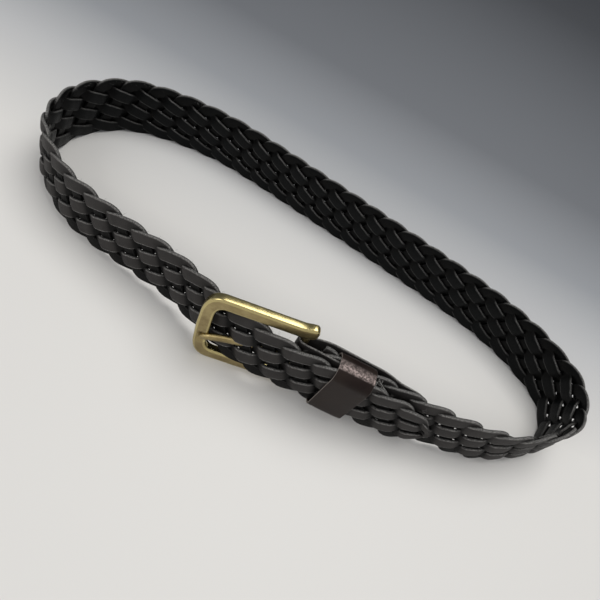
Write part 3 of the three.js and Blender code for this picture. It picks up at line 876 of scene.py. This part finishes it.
class Nodes:
    """Short names for building one material's node tree."""

    def __init__(self, name):
        self.material = bpy.data.materials.new(name)
        self.material.use_nodes = True
        self.tree = self.material.node_tree
        self.shader = self.tree.nodes["Principled BSDF"]

    def add(self, kind, **inputs):
        node = self.tree.nodes.new(kind)
        for key, value in inputs.items():
            node.inputs[key.replace("_", " ")].default_value = value
        return node

    def link(self, output, socket):
        self.tree.links.new(output, socket)

    def coordinates(self, stretch=(1, 1, 1)):
        place = self.tree.nodes.new("ShaderNodeTexCoord")
        mapping = self.tree.nodes.new("ShaderNodeMapping")
        mapping.inputs["Scale"].default_value = stretch
        self.link(place.outputs["Object"], mapping.inputs["Vector"])
        return mapping.outputs["Vector"]

    def noise(self, scale, detail=4.0, roughness=0.6, stretch=(1, 1, 1)):
        node = self.add("ShaderNodeTexNoise", Scale=scale, Detail=detail, Roughness=roughness)
        self.link(self.coordinates(stretch), node.inputs["Vector"])
        return node.outputs["Fac"]

    def cells(self, scale):
        node = self.add("ShaderNodeTexVoronoi", Scale=scale)
        node.feature = "DISTANCE_TO_EDGE"
        self.link(self.coordinates(), node.inputs["Vector"])
        return node.outputs["Distance"]

    def attribute(self, name):
        node = self.tree.nodes.new("ShaderNodeAttribute")
        node.attribute_name = name
        return node.outputs["Fac"]

    def ramp(self, value, stops):
        node = self.tree.nodes.new("ShaderNodeValToRGB")
        elements = node.color_ramp.elements
        while len(elements) < len(stops):
            elements.new(0.5)
        for element, (place, colour) in zip(elements, stops):
            element.position = place
            element.color = (*colour, 1) if len(colour) == 3 else colour
        self.link(value, node.inputs["Fac"])
        return node.outputs["Color"]

    def mix(self, share, first, second):
        node = self.tree.nodes.new("ShaderNodeMix")
        node.data_type = "RGBA"
        self.feed(share, node.inputs["Factor"])
        self.feed(first, node.inputs["A"], True)
        self.feed(second, node.inputs["B"], True)
        return node.outputs["Result"]

    def feed(self, value, socket, colour=False):
        if isinstance(value, bpy.types.NodeSocket):
            self.link(value, socket)
        elif colour:
            socket.default_value = (*value, 1)
        else:
            socket.default_value = value

    def maths(self, operation, first, second):
        node = self.tree.nodes.new("ShaderNodeMath")
        node.operation = operation
        self.feed(first, node.inputs[0])
        self.feed(second, node.inputs[1])
        return node.outputs[0]

    def range(self, value, low, high, to_low=0.0, to_high=1.0):
        node = self.tree.nodes.new("ShaderNodeMapRange")
        for key, number in (
            ("From Min", low), ("From Max", high), ("To Min", to_low), ("To Max", to_high)
        ):
            node.inputs[key].default_value = number
        self.link(value, node.inputs["Value"])
        return node.outputs["Result"]

    def bump(self, height, strength, distance, before=None):
        node = self.add("ShaderNodeBump", Strength=strength, Distance=distance)
        self.link(height, node.inputs["Height"])
        if before is not None:
            self.link(before, node.inputs["Normal"])
        return node.outputs["Normal"]

    def finish(self, **sockets):
        for key, value in sockets.items():
            socket = self.shader.inputs[key.replace("_", " ")]
            self.feed(value, socket, key == "Base_Color")
        return self.material


def strap_leather():
    """Matte grey-brown leather, blacker and glossier on its back, with fuzzy cut edges and painted
    shade in the weave's recesses.
    """
    nodes = Nodes("strap_leather")
    patches = nodes.noise(90, 5, 0.6)
    fibres = nodes.noise(1900, 3, 0.7)
    grain = nodes.cells(1500)
    face = nodes.ramp(patches, [(0.3, (0.02, 0.0185, 0.018)), (0.7, (0.037, 0.0345, 0.033))])
    tone = nodes.attribute("tone")
    face = nodes.mix(nodes.range(tone, 0, 1, 0, 0.3), face, (0.046, 0.042, 0.04))
    back = nodes.attribute("back")
    face = nodes.mix(back, face, (0.0022, 0.0026, 0.0028))
    # Painted shade darkens the strands that lie deep in the weave, on faces and cut edges alike
    shade = nodes.range(nodes.attribute("cavity"), 0, 1, 0, 0.93)
    face = nodes.mix(shade, face, PAINTED_SHADE_COLOUR)
    cut = nodes.ramp(fibres, [(0.35, (0.04, 0.04, 0.039)), (0.68, (0.36, 0.35, 0.335))])
    cut = nodes.mix(nodes.range(back, 0, 1, 0, 0.75), cut, (0.03, 0.032, 0.032))
    cut = nodes.mix(shade, cut, PAINTED_SHADE_COLOUR)
    edge = nodes.attribute("cut_edge")
    ragged = nodes.maths("MULTIPLY", edge, nodes.range(fibres, 0.3, 0.6, 0.55, 1.0))
    colour = nodes.mix(ragged, face, cut)
    gloss = nodes.range(patches, 0.3, 0.7, 0.5, 0.64)
    gloss = nodes.maths("SUBTRACT", gloss, nodes.range(back, 0, 1, 0, 0.27))
    rough = nodes.maths("MAXIMUM", gloss, nodes.range(edge, 0, 1, 0.3, 0.95))
    pores = nodes.bump(nodes.range(grain, 0, 0.12), 0.25, 0.00012)
    waves = nodes.bump(nodes.noise(260, 3, 0.5), 0.35, 0.0003, pores)
    fuzz = nodes.maths("MULTIPLY", fibres, edge)
    normal = nodes.bump(fuzz, 0.9, 0.0006, waves)
    return nodes.finish(
        Base_Color=colour, Roughness=rough, Normal=normal, Specular_IOR_Level=0.1
    )


def keeper_leather():
    """Smooth brown-black leather, satin on its face, with rubbed wear and a painted highlight on its
    fold.
    """
    nodes = Nodes("keeper_leather")
    patches = nodes.noise(70, 4, 0.55)
    scuffs = nodes.noise(800, 4, 0.75)
    grain = nodes.cells(1700)
    face = nodes.ramp(patches, [(0.3, (0.008, 0.004, 0.0032)), (0.7, (0.018, 0.012, 0.0092))])
    # Wear with a painted highlight: a bright speckled band on the fold's upper turn
    worn = nodes.attribute("worn")
    rubbed_highlight = nodes.maths("MULTIPLY", worn, nodes.range(scuffs, 0.42, 0.6, 0.15, 1))
    colour = nodes.mix(rubbed_highlight, face, (0.36, 0.29, 0.27))
    edge = nodes.attribute("cut_edge")
    colour = nodes.mix(edge, colour, (0.17, 0.15, 0.135))
    gloss = nodes.range(patches, 0.3, 0.7, 0.34, 0.46)
    rough = nodes.maths("MAXIMUM", gloss, nodes.range(edge, 0, 1, 0.2, 0.85))
    pores = nodes.bump(nodes.range(grain, 0, 0.1), 0.18, 0.0001)
    creases = nodes.bump(nodes.noise(420, 4, 0.6), 0.3, 0.00022, pores)
    normal = nodes.bump(rubbed_highlight, 0.4, 0.00018, creases)
    return nodes.finish(
        Base_Color=colour, Roughness=rough, Normal=normal, Specular_IOR_Level=0.14
    )


def aged_brass():
    """Brushed brass, duller on its flat faces and rubbed bright on its rounded edges."""
    nodes = Nodes("aged_brass")
    stains = nodes.noise(130, 5, 0.65)
    brush = nodes.noise(900, 3, 0.6, (0.25, 1, 1))
    polish = nodes.attribute("polish")
    face = nodes.ramp(stains, [(0.32, (0.24, 0.182, 0.084)), (0.66, (0.39, 0.316, 0.156))])
    colour = nodes.mix(nodes.range(polish, 0, 1, 0, 0.75), face, (0.56, 0.475, 0.22))
    rough = nodes.range(brush, 0.3, 0.7, 0.36, 0.5)
    bright = nodes.range(polish, 0, 1, 1, 0.55)
    rough = nodes.maths("MULTIPLY", rough, bright)
    scratches = nodes.bump(brush, 0.22, 0.00008)
    normal = nodes.bump(nodes.noise(300, 3, 0.5), 0.2, 0.0002, scratches)
    return nodes.finish(Base_Color=colour, Metallic=1.0, Roughness=rough, Normal=normal)


# Making the belt

def dress(piece, node, material):
    piece.data.materials.append(material)
    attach(piece, "root")
    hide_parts(node)
    return piece


STRAP_LEATHER = strap_leather()
KEEPER_LEATHER = keeper_leather()
BRASS = aged_brass()

dress(braided_strap(), "braided_strap", STRAP_LEATHER)
dress(leather_tab(), "leather_tab", STRAP_LEATHER)
dress(keeper_loop(), "keeper_loop", KEEPER_LEATHER)
dress(buckle_frame(), "buckle_frame", BRASS)
dress(buckle_prong(), "buckle_prong", BRASS)


# Floor, camera and light

def pale_floor():
    size = 3.0
    corners = [(-size, -size, 0), (size, -size, 0), (size, size, 0), (-size, size, 0)]
    floor = new_object("floor", corners, [(0, 1, 2, 3)])
    nodes = Nodes("pale_floor")
    place = nodes.tree.nodes.new("ShaderNodeTexCoord")
    split = nodes.tree.nodes.new("ShaderNodeSeparateXYZ")
    nodes.link(place.outputs["Object"], split.inputs[0])
    # Painted light falloff: paler on the near side, and painted darker and cooler towards the far
    # side
    colour = nodes.ramp(
        nodes.range(split.outputs[1], 0, 1),
        [
            (0.0, (0.655, 0.647, 0.626)),
            (0.09, (0.46, 0.467, 0.474)),
            (0.17, (0.255, 0.268, 0.286)),
            (0.3, (0.135, 0.144, 0.158)),
            (1.0, (0.065, 0.07, 0.078)),
        ],
    )
    floor.data.materials.append(nodes.finish(Base_Color=colour, Roughness=0.6))


def camera():
    back = (CAMERA_PLACE - CAMERA_TARGET).normalized()
    level_right = Vector((0, 0, 1)).cross(back).normalized()
    level_up = back.cross(level_right)
    right = level_right * math.cos(CAMERA_ROLL) + level_up * math.sin(CAMERA_ROLL)
    up = back.cross(right)
    lens = bpy.data.cameras.new("camera")
    lens.lens = CAMERA_LENS
    lens.clip_start = 0.01
    eye = bpy.data.objects.new("camera", lens)
    eye.matrix_world = Matrix((
        (right.x, up.x, back.x, CAMERA_PLACE.x),
        (right.y, up.y, back.y, CAMERA_PLACE.y),
        (right.z, up.z, back.z, CAMERA_PLACE.z),
        (0, 0, 0, 1),
    ))
    bpy.context.scene.collection.objects.link(eye)
    bpy.context.scene.camera = eye


def area_light(name, place, size, energy, colour, target=(0, 0, 0)):
    light = bpy.data.lights.new(name, "AREA")
    light.size = size
    light.energy = energy
    light.color = colour
    lamp = bpy.data.objects.new(name, light)
    lamp.location = place
    aim = Vector(target) - Vector(place)
    lamp.rotation_euler = aim.to_track_quat("-Z", "Y").to_euler()
    bpy.context.scene.collection.objects.link(lamp)


def studio_light():
    """A dim far side, which the brass and the strap's top edges mirror, and a soft key."""
    world = bpy.data.worlds.new("studio")
    world.use_nodes = True
    tree = world.node_tree
    place = tree.nodes.new("ShaderNodeTexCoord")
    split = tree.nodes.new("ShaderNodeSeparateXYZ")
    ramp = tree.nodes.new("ShaderNodeValToRGB")
    shift = tree.nodes.new("ShaderNodeMapRange")
    shift.inputs["From Min"].default_value = -1
    ramp.color_ramp.elements[0].color = (1.0, 1.0, 1.02, 1)
    ramp.color_ramp.elements[0].position = 0.3
    ramp.color_ramp.elements[1].color = (0.2, 0.21, 0.23, 1)
    ramp.color_ramp.elements[1].position = 0.72
    tree.links.new(place.outputs["Generated"], split.inputs[0])
    tree.links.new(split.outputs["Y"], shift.inputs["Value"])
    tree.links.new(shift.outputs["Result"], ramp.inputs["Fac"])
    background = tree.nodes["Background"]
    tree.links.new(ramp.outputs["Color"], background.inputs["Color"])
    background.inputs["Strength"].default_value = 0.62
    bpy.context.scene.world = world
    bpy.context.scene.view_settings.view_transform = "Standard"
    area_light("key", (0.22, 0.28, 1.2), 0.85, 11, (1.0, 0.985, 0.96))
    area_light("fill", (-0.6, -0.9, 0.8), 0.8, 5, (1.0, 0.98, 0.96))


pale_floor()
camera()
studio_light()
